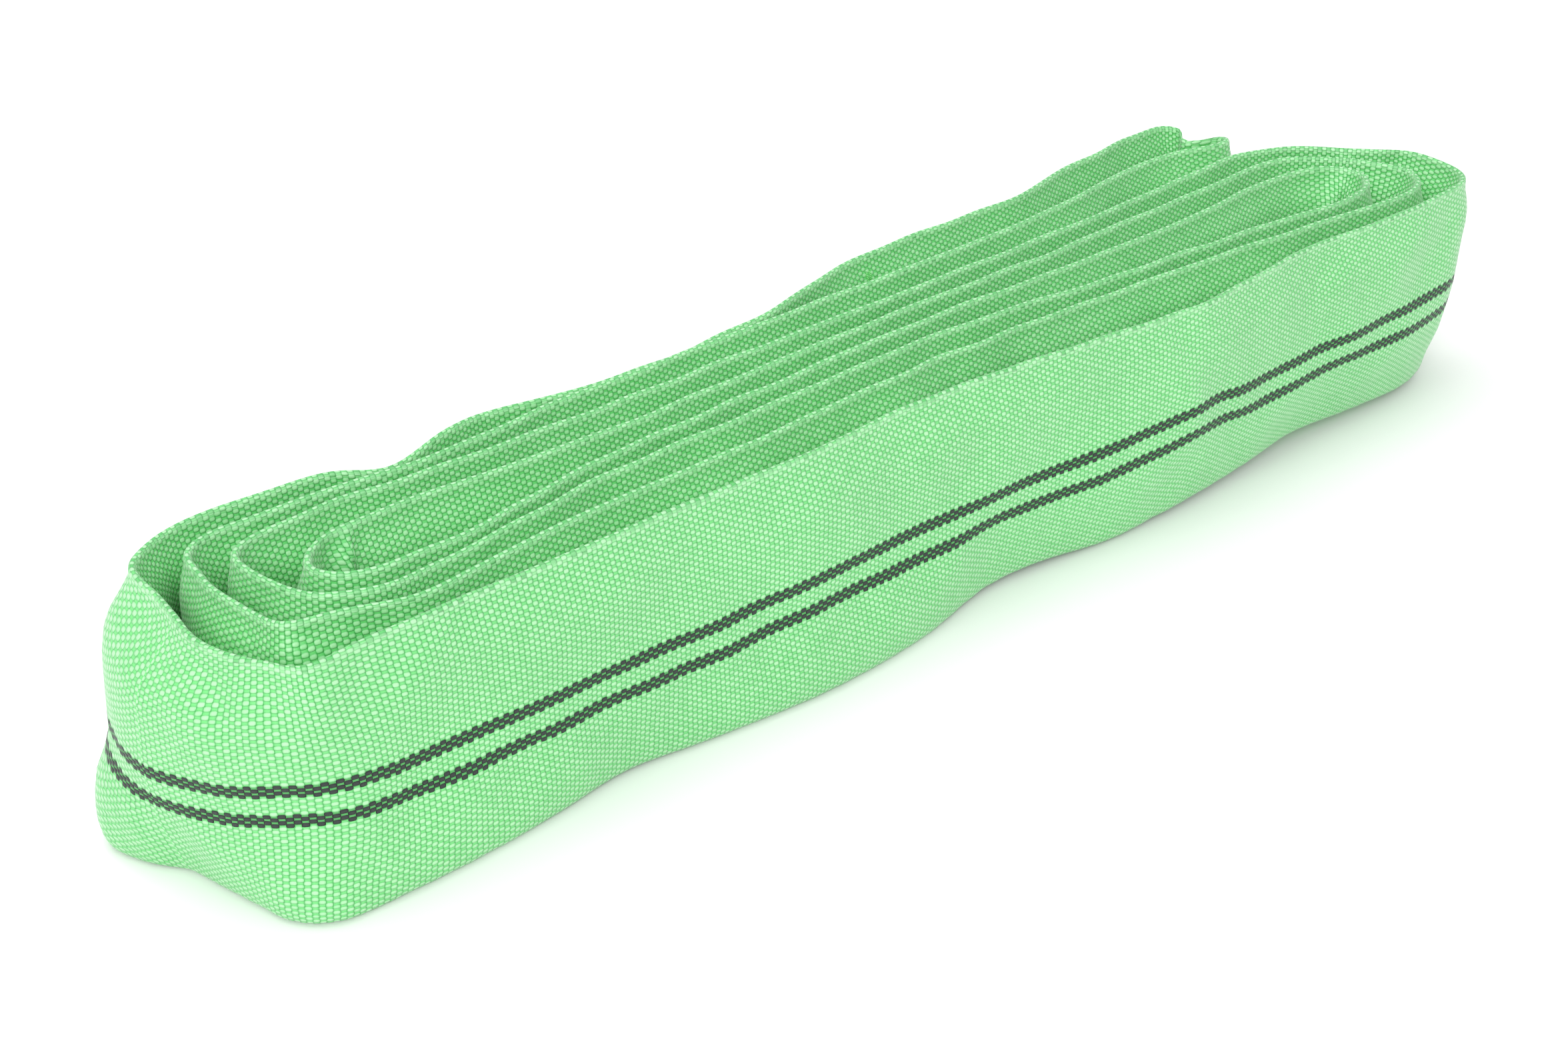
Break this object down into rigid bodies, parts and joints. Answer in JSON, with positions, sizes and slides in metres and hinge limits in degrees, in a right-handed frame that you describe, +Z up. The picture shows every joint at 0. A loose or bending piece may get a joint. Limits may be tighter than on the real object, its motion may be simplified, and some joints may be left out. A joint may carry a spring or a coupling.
{
  "type": "round sling",
  "caption": "Endless woven lifting sling with a yarn core, rolled flat on its edge; its doubled tail folds open.",
  "frame": {"origin": "middle of the rolled sling's footprint, on the floor", "axes": "+X along the roll towards the tail's folded end, +Y towards the tail's side, +Z up across the sleeve's width"},
  "size_m": [0.3932, 0.0956, 0.062],
  "materials": {
    "sleeve": "plain-woven bright green polyester with two black tracer stripes",
    "core": "off-white high-tenacity polyester yarn",
    "thread": "green polyester sewing thread",
    "label": "smooth blue coated label cloth, blank"
  },
  "bodies": {
    "roll": {"sleeve_strand_1": "sleeve", "sleeve_strand_2": "sleeve", "sleeve_strand_3": "sleeve", "sleeve_strand_4": "sleeve", "sleeve_strand_5": "sleeve", "sleeve_strand_6": "sleeve", "sleeve_bend_right_outer": "sleeve", "sleeve_bend_right_middle": "sleeve", "sleeve_bend_right_inner": "sleeve", "sleeve_bend_left_middle": "sleeve", "sleeve_bend_left_inner": "sleeve", "core_roll": "core"},
    "tail": {"sleeve_strand_7": "sleeve", "sleeve_strand_8": "sleeve", "sleeve_bend_tail_end": "sleeve", "core_tail": "core", "joint_stitching_rear": "thread", "joint_stitching_front": "thread", "label_tab": "label", "label_stitching": "thread"},
    "label": {"label": "label"}
  },
  "joints": [
    {"name": "tail_fold", "type": "hinge", "parent": "roll", "child": "tail", "pos_m": [-0.19694, -0.00853, 0.031], "axis": [0, 0, 1], "range_deg": [0, 180]},
    {"name": "label_fold", "type": "hinge", "parent": "tail", "child": "label", "pos_m": [0.03483, 0.03636, 0.031], "axis": [0, 0, 1], "range_deg": [0, 150]}
  ]
}
